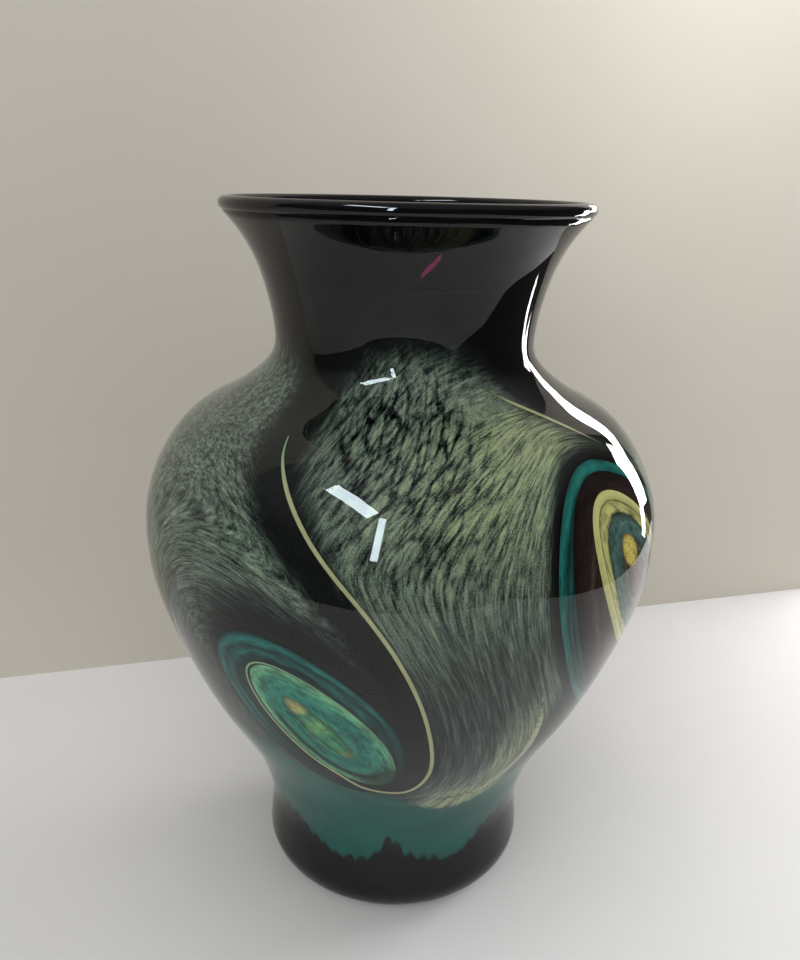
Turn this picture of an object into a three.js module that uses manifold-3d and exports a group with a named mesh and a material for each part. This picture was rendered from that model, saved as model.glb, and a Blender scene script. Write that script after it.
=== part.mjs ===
// Hand blown art glass vase: a thick dark vessel, a coloured coat and skirt with
// two spiral eyes laid into it, trailed threads, a clear outer gather and a lip wrap.
// Millimetres, +Z up, the foot stands on z = 0. Azimuth 0 faces -Y, positive turns to +X.
import * as THREE from 'three';
import { mergeVertices } from 'three/addons/utils/BufferGeometryUtils.js';
import Module from 'manifold-3d';

const wasm = await Module();
wasm.setup();

// Driving sizes
const HEIGHT = 200;
const FOOT_RADIUS = 39.8;
const FOOT_HEIGHT = 9;
const RESTING_RADIUS = 31.4;
const PONTIL_RADIUS = 19;
const PONTIL_DEPTH = 1.2;
const FLOOR_HEIGHT = 11;
const BOWL_TOP = 27;
const LIP_RADIUS = 49.5;
const LIP_BEAD = 1.8;
const LIP_TANGENT = THREE.MathUtils.degToRad(-37);

// The side of the vase from the foot to the lip: radius, height
const SIDE = [
  [39.0, 20], [39.6, 26], [41.5, 33], [44.1, 40], [47.7, 47], [57.0, 63], [65.0, 81], [71.1, 100],
  [71.9, 118], [67.4, 132], [58.7, 143], [45.1, 151], [36.6, 159], [35.9, 168], [39.1, 181], [43.5, 190],
];

// Layers, counted inward from the outer skin
const CLEAR = 0.4;
const SEAM = 0.9;
const SEAT = 0.3;
const CASING = 1.3;
const THREAD = 0.5;
const COLOUR = 0.7;
const VESSEL = 2.2;
const THREAD_OUT = CASING + CLEAR;
const THREAD_IN = THREAD_OUT + THREAD;
const COLOUR_OUT = THREAD_IN + SEAT;
const COLOUR_IN = COLOUR_OUT + COLOUR;
const VESSEL_OUT = COLOUR_IN + CLEAR;
const NECK_VESSEL_OUT = CASING + CLEAR;
const LIP_WALL = 1.8;

// Heights where the layers begin and end
const SKIRT_LOWEST = 15;
const COLOUR_HIGHEST = 171;
const WALL_TOP = 195.5;

// Where the casing and the vessel leave the foot's rounded edge, as a turn from below
const CASING_EDGE = 0.4;
const VESSEL_EDGE = 0.62;
const FOOT_STEPS = 5;

const AROUND = 48;
const SKIRT_AROUND = 60;
const LONGEST_FACET = 14;
const CHORD = 0.19;
const COAT_CHORD = 0.11;
const THREAD_WIDTH = 1.4;

// Spiral eyes: centre (azimuth, height), half length, half width; the long axis leans left
const LEAN = THREE.MathUtils.degToRad(128);
const LEFT_EYE = {
  opening: { azimuth: -15.5, height: 82, half: [38, 21] },
  band: { azimuth: -19.5, height: 80, half: [30, 17.5] },
  core: { azimuth: -18, height: 78.5, half: [22.6, 10.2] },
  ring: { azimuth: -18, height: 78, half: [24, 11.6] },
  heart: { azimuth: -20.5, height: 81, half: [9, 3.2] },
};
const RIGHT_EYE = {
  band: { azimuth: 58, height: 104, half: [42, 28] },
  field: { azimuth: 58, height: 106, half: [37, 23] },
  core: { azimuth: 57.5, height: 110.5, half: [26.2, 12.2] },
  ring: { azimuth: 57.5, height: 110.5, half: [27.5, 13.5] },
  yolk: { azimuth: 53, height: 119, half: [5.5, 3.4] },
};

// Glass colours and finishes
const GLASS = {
  amethyst: { color: 0x0b080b, roughness: 0.06 },
  clear: { color: 0xdfe8e2, roughness: 0.03, opacity: 0.3 },
  frit: { color: 0x6f7d5c, roughness: 0.25 },
  teal: { color: 0x1c5a52, roughness: 0.2 },
  green: { color: 0x3c9a70, roughness: 0.2 },
  brown: { color: 0x2c1d18, roughness: 0.2 },
  sage: { color: 0x6c8263, roughness: 0.2 },
  straw: { color: 0xa8ab72, roughness: 0.2 },
  yolk: { color: 0xc9b548, roughness: 0.2 },
};

// ---- the outline -------------------------------------------------------

function outlineCurve() {
  const centre = [LIP_RADIUS - LIP_BEAD, HEIGHT - LIP_BEAD];
  const tangentPoint = [
    centre[0] + LIP_BEAD * Math.cos(LIP_TANGENT),
    centre[1] + LIP_BEAD * Math.sin(LIP_TANGENT),
  ];
  const points = [[FOOT_RADIUS, FOOT_HEIGHT], ...SIDE, tangentPoint];
  const curve = new THREE.CatmullRomCurve3(
    points.map(([r, z]) => new THREE.Vector3(r, z, 0)), false, 'catmullrom', 0.5);
  return curve.getPoints(1200);
}

const OUTLINE = outlineCurve();

// Point of the outer skin at a height, with its outward direction
function skin(height) {
  let k = 1;
  while (k < OUTLINE.length - 1 && OUTLINE[k].y < height) k += 1;
  const low = OUTLINE[k - 1];
  const high = OUTLINE[k];
  const t = (height - low.y) / (high.y - low.y);
  const along = high.clone().sub(low).normalize();
  return { r: low.x + t * (high.x - low.x), outward: [along.y, -along.x] };
}

// The same point moved inward through the wall
function inside(height, depth) {
  const { r, outward } = skin(height);
  return [r - depth * outward[0], height - depth * outward[1]];
}

// Point of the foot's rounded edge: turn 0 is at the resting ring, a quarter turn is the widest
function foot(turn, depth) {
  const reach = FOOT_RADIUS - RESTING_RADIUS;
  const outward = new THREE.Vector2(FOOT_HEIGHT * Math.sin(turn), -reach * Math.cos(turn)).normalize();
  return [
    RESTING_RADIUS + reach * Math.sin(turn) - depth * outward.x,
    FOOT_HEIGHT * (1 - Math.cos(turn)) - depth * outward.y,
  ];
}

function footEdge(fromTurn, depth) {
  const edge = [];
  for (let i = 0; i < FOOT_STEPS; i += 1) {
    edge.push(foot(fromTurn + ((Math.PI / 2 - fromTurn) * i) / FOOT_STEPS, depth));
  }
  return edge;
}

// Heights of the facet rows between two levels, closer where the side bends
function rows(from, to, chord = CHORD) {
  const count = 400;
  const level = (i) => from + ((to - from) * i) / count;
  const point = (i) => new THREE.Vector2(skin(level(i)).r, level(i));
  const picked = [from];
  let start = 0;
  for (let i = 2; i <= count; i += 1) {
    const span = point(i).sub(point(start));
    const middle = point(Math.round((start + i) / 2)).sub(point(start));
    const length = span.length();
    const bulge = Math.abs(span.cross(middle)) / length;
    if (bulge > chord || length > LONGEST_FACET) {
      start = i - 1;
      picked.push(level(start));
    }
  }
  picked.push(to);
  return picked;
}

function blend(value, from, to) {
  return THREE.MathUtils.smoothstep(value, from, to);
}

// ---- closed bodies -----------------------------------------------------

// Keep only positions, weld them, drop flat triangles and turn the faces outward
function closed(geometry) {
  const bare = new THREE.BufferGeometry();
  bare.setAttribute('position', geometry.getAttribute('position').clone());
  bare.setIndex(geometry.getIndex().clone());
  const welded = mergeVertices(bare, 1e-4);
  const index = welded.getIndex().array;
  const at = (i) => new THREE.Vector3().fromBufferAttribute(welded.getAttribute('position'), i);
  const kept = [];
  let volume = 0;
  for (let i = 0; i < index.length; i += 3) {
    const [a, b, c] = [index[i], index[i + 1], index[i + 2]];
    if (a !== b && b !== c && c !== a) {
      kept.push(a, b, c);
      volume += at(a).dot(at(b).cross(at(c)));
    }
  }
  if (volume < 0) kept.reverse();
  welded.setIndex(kept);
  return welded;
}

function lathe(profile) {
  const points = profile.map(([r, z]) => new THREE.Vector2(r, z));
  const geometry = new THREE.LatheGeometry(points, AROUND);
  geometry.rotateX(Math.PI / 2);
  return closed(geometry);
}

function onWall([azimuth, height], depth) {
  const [r, z] = inside(height, depth);
  const a = THREE.MathUtils.degToRad(azimuth);
  return [r * Math.sin(a), -r * Math.cos(a), z];
}

// A plate bent to the wall: a grid of [azimuth, height] points between two depths
function plate(grid, depthOut, depthIn, loops) {
  const across = grid.length;
  const along = grid[0].length;
  const position = [];
  for (const depth of [depthOut, depthIn]) {
    for (const line of grid) {
      for (const point of line) position.push(...onWall(point, depth));
    }
  }
  const index = [];
  const sheet = across * along;
  const at = (i, j, side) => side * sheet + i * along + (j % along);
  const quad = (a, b, c, d) => index.push(a, b, c, a, c, d);
  const columns = loops ? along : along - 1;
  for (let j = 0; j < columns; j += 1) {
    for (let i = 0; i < across - 1; i += 1) {
      quad(at(i, j, 0), at(i, j + 1, 0), at(i + 1, j + 1, 0), at(i + 1, j, 0));
      quad(at(i, j, 1), at(i + 1, j, 1), at(i + 1, j + 1, 1), at(i, j + 1, 1));
    }
    quad(at(0, j + 1, 0), at(0, j, 0), at(0, j, 1), at(0, j + 1, 1));
    const last = across - 1;
    quad(at(last, j, 0), at(last, j + 1, 0), at(last, j + 1, 1), at(last, j, 1));
  }
  if (!loops) {
    for (let i = 0; i < across - 1; i += 1) {
      const end = along - 1;
      quad(at(i, 0, 0), at(i + 1, 0, 0), at(i + 1, 0, 1), at(i, 0, 1));
      quad(at(i + 1, end, 0), at(i, end, 0), at(i, end, 1), at(i + 1, end, 1));
    }
  }
  const geometry = new THREE.BufferGeometry();
  geometry.setAttribute('position', new THREE.Float32BufferAttribute(position, 3));
  geometry.setIndex(index);
  return closed(geometry);
}

// Point of a leaning oval, in azimuth and height
function onOval(oval, angle, grow) {
  const radius = skin(oval.height).r;
  const p = (oval.half[0] + grow) * Math.cos(angle);
  const q = (oval.half[1] + grow) * Math.sin(angle);
  const x = p * Math.cos(LEAN) - q * Math.sin(LEAN);
  const y = p * Math.sin(LEAN) + q * Math.cos(LEAN);
  return [oval.azimuth + THREE.MathUtils.radToDeg(x / radius), oval.height + y];
}

function ovalLine(oval, grow, count) {
  const line = [];
  for (let j = 0; j < count; j += 1) line.push(onOval(oval, (2 * Math.PI * j) / count, grow));
  return line;
}

function between(lineA, lineB, t) {
  return lineA.map(([a, z], j) => [a + t * (lineB[j][0] - a), z + t * (lineB[j][1] - z)]);
}

// An oval plate in rings round its middle
function disc(oval, grow, depthOut, depthIn, count, rings) {
  const rim = ovalLine(oval, grow, count);
  const middle = [oval.azimuth, oval.height];
  const centre = rim.map(() => middle);
  const grid = [];
  for (let i = 0; i <= rings; i += 1) grid.push(between(centre, rim, i / rings));
  return plate(grid, depthOut, depthIn, true);
}

function ovalBand(inner, innerGrow, outer, count, rings) {
  const from = ovalLine(inner, innerGrow, count);
  const to = ovalLine(outer, 0, count);
  const grid = [];
  for (let i = 0; i <= rings; i += 1) grid.push(between(from, to, i / rings));
  return plate(grid, COLOUR_OUT, COLOUR_IN, true);
}

// A band all round the wall between two wavy edges, its rows set for the levels given
function girdle(lower, upper, columns, levels) {
  const first = levels[0];
  const last = levels[levels.length - 1];
  const grid = levels.map((level) => {
    const share = (level - first) / (last - first);
    const line = [];
    for (let j = 0; j < columns; j += 1) {
      const azimuth = (360 * j) / columns;
      line.push([azimuth, lower(azimuth) + (upper(azimuth) - lower(azimuth)) * share]);
    }
    return line;
  });
  return plate(grid, COLOUR_OUT, COLOUR_IN, true);
}

// A flattened thread laid on the wall along a path, tapering to its ends
function thread(path, width, step) {
  const flat = path.map(([azimuth, height]) => new THREE.Vector3(azimuth, height, 0));
  const curve = new THREE.CatmullRomCurve3(flat, false, 'catmullrom', 0.5);
  const count = Math.round(curve.getLength() / step);
  const grid = [[], []];
  for (let j = 0; j <= count; j += 1) {
    const here = curve.getPointAt(j / count);
    const radius = skin(here.y).r;
    const run = curve.getTangentAt(j / count);
    const side = new THREE.Vector2(-run.y, THREE.MathUtils.degToRad(run.x) * radius).normalize();
    const taper = 0.35 + 0.65 * Math.min(1, 6 * (j / count), 6 * (1 - j / count));
    const shift = (taper * width) / 2;
    const turn = THREE.MathUtils.radToDeg((side.x * shift) / radius);
    grid[0].push([here.x - turn, here.y - side.y * shift]);
    grid[1].push([here.x + turn, here.y + side.y * shift]);
  }
  return plate(grid, THREAD_OUT, THREAD_IN, false);
}

function ovalArc(oval, fromDegrees, toDegrees, count) {
  const path = [];
  for (let j = 0; j <= count; j += 1) {
    const angle = fromDegrees + ((toDegrees - fromDegrees) * j) / count;
    path.push(onOval(oval, THREE.MathUtils.degToRad(angle), 0));
  }
  return path;
}

// ---- booleans ----------------------------------------------------------

function toManifold(geometry) {
  const vertProperties = new Float32Array(geometry.getAttribute('position').array);
  const triVerts = new Uint32Array(geometry.getIndex().array);
  return new wasm.Manifold(new wasm.Mesh({ numProp: 3, vertProperties, triVerts }));
}

function cut(geometry, tools) {
  let body = toManifold(geometry);
  for (const tool of tools) body = body.subtract(toManifold(tool));
  const result = body.getMesh();
  const cutGeometry = new THREE.BufferGeometry();
  cutGeometry.setAttribute('position', new THREE.Float32BufferAttribute(result.vertProperties, 3));
  cutGeometry.setIndex(Array.from(result.triVerts));
  return closed(cutGeometry);
}

// ---- the pieces --------------------------------------------------------

function vesselDepth(height) {
  const body = VESSEL_OUT - NECK_VESSEL_OUT;
  const low = blend(height, FOOT_HEIGHT + 2, SKIRT_LOWEST);
  const high = blend(height, COLOUR_HIGHEST, COLOUR_HIGHEST + 8);
  return NECK_VESSEL_OUT + body * low * (1 - high);
}

function vesselWall(height) {
  return VESSEL + (LIP_WALL - VESSEL) * blend(height, COLOUR_HIGHEST, WALL_TOP);
}

// The hollow of the foot: a shallow polished recess, then the flat resting ring
function underside() {
  const profile = [[0, PONTIL_DEPTH]];
  for (const t of [0.5, 1]) {
    profile.push([PONTIL_RADIUS * t, PONTIL_DEPTH * (1 - t * t)]);
  }
  profile.push([RESTING_RADIUS - 1, 0]);
  return profile;
}

// The bowl of the floor, from the wall down to the middle
function bowl() {
  const [rim, top] = inside(BOWL_TOP, vesselDepth(BOWL_TOP) + VESSEL);
  const profile = [];
  for (let i = 6; i >= 0; i -= 1) {
    const turn = (Math.PI / 2) * (i / 6);
    profile.push([rim * Math.sin(turn), FLOOR_HEIGHT + (top - FLOOR_HEIGHT) * (1 - Math.cos(turn))]);
  }
  return profile;
}

function innerVessel() {
  const levels = [FOOT_HEIGHT, ...rows(SKIRT_LOWEST, WALL_TOP)];
  const outer = levels.map((z) => inside(z, vesselDepth(z)));
  const hollow = levels.filter((z) => z > BOWL_TOP + 3).reverse();
  const inner = hollow.map((z) => inside(z, vesselDepth(z) + vesselWall(z)));
  return lathe([...underside(), ...footEdge(VESSEL_EDGE, NECK_VESSEL_OUT), ...outer, ...inner, ...bowl()]);
}

function clearCasing() {
  const levels = rows(FOOT_HEIGHT, WALL_TOP);
  const outer = [...footEdge(CASING_EDGE, 0), ...levels.map((z) => inside(z, 0))];
  const inner = [...footEdge(CASING_EDGE, CASING), ...levels.map((z) => inside(z, CASING))];
  return lathe([...outer, ...inner.reverse(), outer[0]]);
}

function lipWrap() {
  const profile = [];
  for (let i = 0; i <= 12; i += 1) {
    const t = Math.PI / 2 + (2 * Math.PI * i) / 12;
    profile.push([
      LIP_RADIUS - LIP_BEAD + LIP_BEAD * Math.cos(t),
      HEIGHT - LIP_BEAD + LIP_BEAD * Math.sin(t),
    ]);
  }
  return lathe(profile);
}

function bump(azimuth, centre, spread) {
  const away = THREE.MathUtils.euclideanModulo(azimuth - centre + 180, 360) - 180;
  return Math.exp(-((away / spread) ** 2));
}

function skirtLower(azimuth) {
  const a = THREE.MathUtils.degToRad(azimuth);
  return 22.5 - 3 * Math.cos(a) + 8 * bump(azimuth, -1, 6) + 0.8 * Math.sin(8 * a + 1);
}

function skirtUpper(azimuth) {
  const a = THREE.MathUtils.degToRad(azimuth);
  return 50 + 16 * bump(azimuth, -44, 24) - 5 * bump(azimuth, 20, 20) + Math.sin(4 * a);
}

function coatLower(azimuth) {
  return skirtUpper(azimuth) + SEAM;
}

function coatUpper(azimuth) {
  const a = THREE.MathUtils.degToRad(azimuth + 40);
  return 160 + 8 * Math.cos(a) - 6 * bump(azimuth, 55, 24);
}

function fritCoat(openings) {
  const sleeve = girdle(coatLower, coatUpper, AROUND, rows(51, 165, COAT_CHORD));
  return cut(sleeve, openings);
}

function tealSkirt(openings) {
  const sleeve = girdle(skirtLower, skirtUpper, SKIRT_AROUND, rows(20, 50));
  return cut(sleeve, openings);
}

function opening(oval) {
  return disc(oval, CLEAR + 0.1, COLOUR_OUT - 1, COLOUR_IN + 1, 36, 4);
}

function leftThread() {
  const runIn = [[-30, 147], [-20, 131], [-10, 120], [0, 103], [6.5, 84], [9, 66], [3, 52], [-8, 53]];
  const ring = ovalArc(LEFT_EYE.ring, 122, -145, 12);
  return thread([...runIn, ...ring], THREAD_WIDTH, 3);
}

function rightRing() {
  return thread(ovalArc(RIGHT_EYE.ring, 165, -165, 20), 2.2, 3);
}

function shoulderThread() {
  return thread([[30, 157], [38, 154], [50, 149], [60, 142]], 1, 3);
}

function featherThread() {
  return thread([[32, 88], [37, 72], [38, 58], [31, 47], [14, 46]], THREAD_WIDTH, 3);
}

function piece(name, geometry, glass) {
  const material = new THREE.MeshStandardMaterial({
    color: glass.color,
    roughness: glass.roughness,
    metalness: 0,
    transparent: glass.opacity !== undefined,
    opacity: glass.opacity ?? 1,
    flatShading: true,
  });
  const mesh = new THREE.Mesh(geometry, material);
  mesh.name = name;
  material.name = name;
  return mesh;
}

function build() {
  const openings = [LEFT_EYE.opening, LEFT_EYE.band, RIGHT_EYE.band].map(opening);
  const discDepths = [COLOUR_OUT, COLOUR_IN, 28, 3];
  const beadDepths = [THREAD_OUT, THREAD_IN, 16, 2];
  const vase = new THREE.Group();
  vase.name = 'art_glass_vase';
  vase.add(
    piece('inner_vessel', innerVessel(), GLASS.amethyst),
    piece('frit_coat', fritCoat(openings), GLASS.frit),
    piece('teal_skirt', tealSkirt(openings), GLASS.teal),
    piece('left_eye_band', ovalBand(LEFT_EYE.core, CLEAR, LEFT_EYE.band, 32, 2), GLASS.teal),
    piece('left_eye_core', disc(LEFT_EYE.core, 0, ...discDepths), GLASS.green),
    piece('left_eye_heart', disc(LEFT_EYE.heart, 0, ...beadDepths), GLASS.straw),
    piece('right_eye_band', ovalBand(RIGHT_EYE.field, CLEAR, RIGHT_EYE.band, 36, 1), GLASS.teal),
    piece('right_eye_field', ovalBand(RIGHT_EYE.core, CLEAR, RIGHT_EYE.field, 36, 2), GLASS.brown),
    piece('right_eye_core', disc(RIGHT_EYE.core, 0, ...discDepths), GLASS.sage),
    piece('right_eye_yolk', disc(RIGHT_EYE.yolk, 0, ...beadDepths), GLASS.yolk),
    piece('left_thread', leftThread(), GLASS.straw),
    piece('right_ring', rightRing(), GLASS.yolk),
    piece('shoulder_thread', shoulderThread(), GLASS.straw),
    piece('feather_thread', featherThread(), GLASS.straw),
    piece('clear_casing', clearCasing(), GLASS.clear),
    piece('lip_wrap', lipWrap(), GLASS.amethyst),
  );
  return vase;
}

export default build();
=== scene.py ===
import math

import bpy
import numpy as np
from mathutils import Euler, Matrix, Vector


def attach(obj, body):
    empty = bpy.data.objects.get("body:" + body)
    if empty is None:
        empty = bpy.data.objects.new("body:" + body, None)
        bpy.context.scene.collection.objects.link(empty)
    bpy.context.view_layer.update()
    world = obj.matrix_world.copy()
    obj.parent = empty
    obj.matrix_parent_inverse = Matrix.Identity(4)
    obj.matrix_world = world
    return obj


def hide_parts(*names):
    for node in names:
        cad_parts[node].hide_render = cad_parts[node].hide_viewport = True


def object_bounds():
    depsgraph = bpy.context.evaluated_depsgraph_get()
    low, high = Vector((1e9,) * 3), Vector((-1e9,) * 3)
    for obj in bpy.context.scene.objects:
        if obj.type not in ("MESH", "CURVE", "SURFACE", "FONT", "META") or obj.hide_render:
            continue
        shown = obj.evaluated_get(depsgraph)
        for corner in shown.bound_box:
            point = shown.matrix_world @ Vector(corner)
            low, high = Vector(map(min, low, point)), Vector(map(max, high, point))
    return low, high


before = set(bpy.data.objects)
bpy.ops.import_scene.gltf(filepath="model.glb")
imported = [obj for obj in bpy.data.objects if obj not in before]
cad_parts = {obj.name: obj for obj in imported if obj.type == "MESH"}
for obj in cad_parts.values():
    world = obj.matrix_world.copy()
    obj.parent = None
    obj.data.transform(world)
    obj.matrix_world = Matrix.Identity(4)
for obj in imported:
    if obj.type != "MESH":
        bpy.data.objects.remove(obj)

CAD_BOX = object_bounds()
HEIGHT_MM = 200.0
MM = (CAD_BOX[1][2] - CAD_BOX[0][2]) / HEIGHT_MM

# The vase's sizes in millimetres, as in the CAD model
FOOT_RADIUS = 39.8
FOOT_HEIGHT = 9.0
RESTING_RADIUS = 31.4
PONTIL_RADIUS = 19.0
PONTIL_DEPTH = 1.2
FLOOR_HEIGHT = 11.0
BOWL_TOP = 27.0
LIP_RADIUS = 49.5
LIP_BEAD = 1.8
LIP_TANGENT = math.radians(-37)
SIDE = [
    (39.0, 20), (39.6, 26), (41.5, 33), (44.1, 40), (47.7, 47), (57.0, 63), (65.0, 81), (71.1, 100),
    (71.9, 118), (67.4, 132), (58.7, 143), (45.1, 151), (36.6, 159), (35.9, 168), (39.1, 181), (43.5, 190),
]
WALL_BODY = 5.8
WALL_LIP = 3.5
WALL_TOP = 196.4

# Depths under the outer skin, in millimetres: every colour lies in the clear gather
CASING_DEPTH = 1.4
COAT_DEPTH = 1.2
EYE_DEPTH = 1.0
THREAD_DEPTH = 0.8

LEAN = math.radians(128)


def oval(azimuth, height, length, width, lean=LEAN):
    """An oval on the wall: its centre in degrees and millimetres, its half sizes and its lean."""
    return azimuth, height, length, width, lean


# Spiral eyes: the right one as in the CAD model, the left one about 3 mm lower along its lean
LEFT_OPENING = oval(-15, 81, 38, 21)
LEFT_BAND = oval(-18.6, 77.4, 31, 19)
LEFT_CORE = oval(-15.6, 75.2, 24.2, 11.3)
LEFT_RING = oval(-15.9, 75.3, 24.8, 11.8)
LEFT_HEART = oval(-17.1, 76.8, 12.2, 3.4)
RIGHT_BAND = oval(58, 104, 42, 28)
RIGHT_FIELD = oval(58, 106, 37.5, 23.5)
RIGHT_CORE = oval(57.5, 110.5, 26.4, 12.4)
RIGHT_RING = oval(57.5, 110.5, 27.5, 13.5)
RIGHT_YOLK = oval(53, 119, 5.5, 3.4)

# How the wall was twisted round each eye: an oval, radians of turn, and how many ovals out it reaches
LEFT_SWIRL = oval(-18, 80, 24, 14), 2.6, 3.4
RIGHT_SWIRL = oval(60, 105, 31, 24, 0.0), 3.0, 2.45

# Camera: the photograph's viewpoint, in vase heights and degrees
CAMERA_DISTANCE = 1.2447
CAMERA_HEIGHT = 1.0204
CAMERA_PITCH = 18.33
CAMERA_ROLL = 1.37
CAMERA_ASIDE = -0.0016
LENS = 33.75

# The room, in vase heights: x to the camera's right, y away from it, the vase in the middle
ROOM_LEFT = -6.0
TABLE_FRONT = -1.85
TABLE_RIGHT = 1.65
TABLE_BACK = 1.6
WALL_END = 1.13
WALL_HEIGHT = 5.0
WALL_BEHIND = 0.672
WALL_SLOPE = 0.286

# The window beside the wall and the panes behind the camera, which show in the gloss
WINDOW_RADIANCE = 14.0
WINDOW_STANDS_OFF = 0.02
PANE_RADIANCE = 19.0
PANE_DISTANCE = 3.0
PANE_COLOUR = (0.8, 0.93, 1)

# What the room gives to the gloss, low and high, to the camera and to soft light
ROOM_LOW = (0.080, 0.073, 0.066)
ROOM_CEILING = (0.305, 0.295, 0.31)
ROOM_WALL = (0.45, 0.43, 0.40, 1)
ROOM_SOFT = (0.42, 0.42, 0.42, 1)

# Points round the vase in a turned piece
COLUMNS = 256


# ---- the outline ---------------------------------------------------------

def smooth_curve(knots, steps):
    """A smooth curve through every knot, with so many steps from each knot to the next."""
    knots = np.array(knots, dtype=float)
    knots = np.vstack([2 * knots[0] - knots[1], knots, 2 * knots[-1] - knots[-2]])
    t = np.linspace(0, 1, steps, endpoint=False)[:, None]
    curve = []
    for before, a, b, after in zip(knots, knots[1:], knots[2:], knots[3:]):
        leave, arrive = (b - before) / 2, (after - a) / 2
        curve.append((2 * a - 2 * b + leave + arrive) * t**3
                     + (3 * b - 3 * a - 2 * leave - arrive) * t**2 + leave * t + a)
    return np.concatenate(curve + [knots[-2:-1]])


def outline():
    """The side from the foot to the lip as a smooth curve: heights, radii and outward directions."""
    tangent = np.array([math.cos(LIP_TANGENT), math.sin(LIP_TANGENT)])
    lip = np.array([LIP_RADIUS - LIP_BEAD, HEIGHT_MM - LIP_BEAD]) + LIP_BEAD * tangent
    curve = smooth_curve([(FOOT_RADIUS, FOOT_HEIGHT), *SIDE, lip], 60)
    along = np.gradient(curve, axis=0)
    along /= np.linalg.norm(along, axis=1)[:, None]
    return curve[:, 1], curve[:, 0], along[:, 1], -along[:, 0]


OUT_Z, OUT_R, OUT_NR, OUT_NZ = outline()


def radius_at(height):
    return np.interp(height, OUT_Z, OUT_R)


def smooth(value, low, high):
    t = np.clip((value - low) / (high - low), 0, 1)
    return t * t * (3 - 2 * t)


def inside(height, depth):
    """Radius and height of the point a depth under the skin."""
    r = radius_at(height) - depth * np.interp(height, OUT_Z, OUT_NR)
    z = height - depth * np.interp(height, OUT_Z, OUT_NZ)
    return r, z


def foot_edge(turn, depth):
    """A point of the foot's rounded edge: turn 0 is at the resting ring, a quarter turn the widest."""
    reach = FOOT_RADIUS - RESTING_RADIUS
    out = np.array([FOOT_HEIGHT * math.sin(turn), -reach * math.cos(turn)])
    out /= np.linalg.norm(out)
    return (RESTING_RADIUS + reach * math.sin(turn) - depth * out[0],
            FOOT_HEIGHT * (1 - math.cos(turn)) - depth * out[1])


def on_wall(azimuth, height, depth):
    """Points in metres at azimuths in degrees (0 faces the camera) and heights in millimetres."""
    r, z = inside(height, depth)
    a = np.radians(azimuth)
    return np.stack([r * np.sin(a), -r * np.cos(a), z], -1) * MM


# ---- meshes ----------------------------------------------------------------

def new_object(name, points, faces):
    mesh = bpy.data.meshes.new(name)
    mesh.from_pydata(np.asarray(points).reshape(-1, 3).tolist(), [], faces)
    mesh.validate()
    mesh.update()
    obj = bpy.data.objects.new(name, mesh)
    bpy.context.scene.collection.objects.link(obj)
    mesh.shade_smooth()
    return obj


def grid_faces(rows, columns, around, offset=0):
    """Quads of a grid of points stored row by row; around joins the last column to the first."""
    faces = []
    for i in range(rows - 1):
        for j in range(columns if around else columns - 1):
            k = (j + 1) % columns
            a, b = offset + i * columns + j, offset + i * columns + k
            faces.append((a, b, b + columns, a + columns))
    return faces


def lathe(name, profile, columns=COLUMNS):
    """A closed or axis-to-axis profile of radius and height, turned round the vase's axis."""
    profile = np.array(profile)
    on_axis = profile[:, 0] < 1e-6
    a = np.linspace(0, 2 * np.pi, columns, endpoint=False)
    points, first = [], []
    for (r, z), single in zip(profile, on_axis):
        first.append(len(points))
        if single:
            points.append((0, 0, z * MM))
        else:
            points.extend(zip(r * np.sin(a) * MM, -r * np.cos(a) * MM, np.full(columns, z * MM)))
    faces = []
    for i in range(len(profile) - 1):
        low, high = first[i], first[i + 1]
        for j in range(columns):
            k = (j + 1) % columns
            if on_axis[i]:
                faces.append((low, high + k, high + j))
            elif on_axis[i + 1]:
                faces.append((low + j, low + k, high))
            else:
                faces.append((low + j, low + k, high + k, high + j))
    return new_object(name, points, faces)


def set_field(obj, name, values):
    """Store one number or one vector for each point of the mesh."""
    values = np.asarray(values, dtype=np.float32)
    kind, key = ("FLOAT_VECTOR", "vector") if values.ndim == 2 else ("FLOAT", "value")
    store = obj.data.attributes.get(name) or obj.data.attributes.new(name, kind, "POINT")
    store.data.foreach_set(key, values.ravel())


def finish_piece(obj, material, slot, *nodes):
    obj.data.materials.append(material)
    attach(obj, "root")
    if nodes:
        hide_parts(*nodes)
    return obj


# ---- ovals and flow --------------------------------------------------------

def oval_point(shape, angle, share=1.0):
    """Azimuth and height of a point of a leaning oval."""
    azimuth, height, length, width, lean = shape
    p, q = length * share * np.cos(angle), width * share * np.sin(angle)
    x = p * math.cos(lean) - q * math.sin(lean)
    y = p * math.sin(lean) + q * math.cos(lean)
    return azimuth + np.degrees(x / radius_at(height)), height + y


def oval_place(shape, azimuth, height):
    """How far out from an oval's centre a point is (1 on the oval), and at what angle."""
    middle, level, length, width, lean = shape
    away = (azimuth - middle + 180) % 360 - 180
    x = np.radians(away) * radius_at(level)
    y = height - level
    p = (x * math.cos(lean) + y * math.sin(lean)) / length
    q = (-x * math.sin(lean) + y * math.cos(lean)) / width
    return np.hypot(p, q), np.arctan2(q, p)


def untwist(azimuth, height, swirl):
    """Where the glass now at a point lay before an eye was twisted clockwise into the wall."""
    shape, turns, reach = swirl
    share, angle = oval_place(shape, azimuth, height)
    return oval_point(shape, angle + turns * (1 - smooth(share, 0.6, reach)), share)


def bump(azimuth, height, middle, level, wide, tall):
    """A soft round patch: 1 in its middle, falling to 0 around it."""
    away = (azimuth - middle + 180) % 360 - 180
    return np.exp(-(away / wide) ** 2 - ((height - level) / tall) ** 2)


def smooth_path(points, count):
    """Evenly spaced points on a smooth curve through the given azimuths and heights."""
    curve = smooth_curve(points, 24)
    run = np.concatenate([[0], np.cumsum(np.linalg.norm(np.diff(curve, axis=0), axis=1))])
    even = np.linspace(0, run[-1], count)
    return np.stack([np.interp(even, run, curve[:, 0]), np.interp(even, run, curve[:, 1])], -1)


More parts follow.
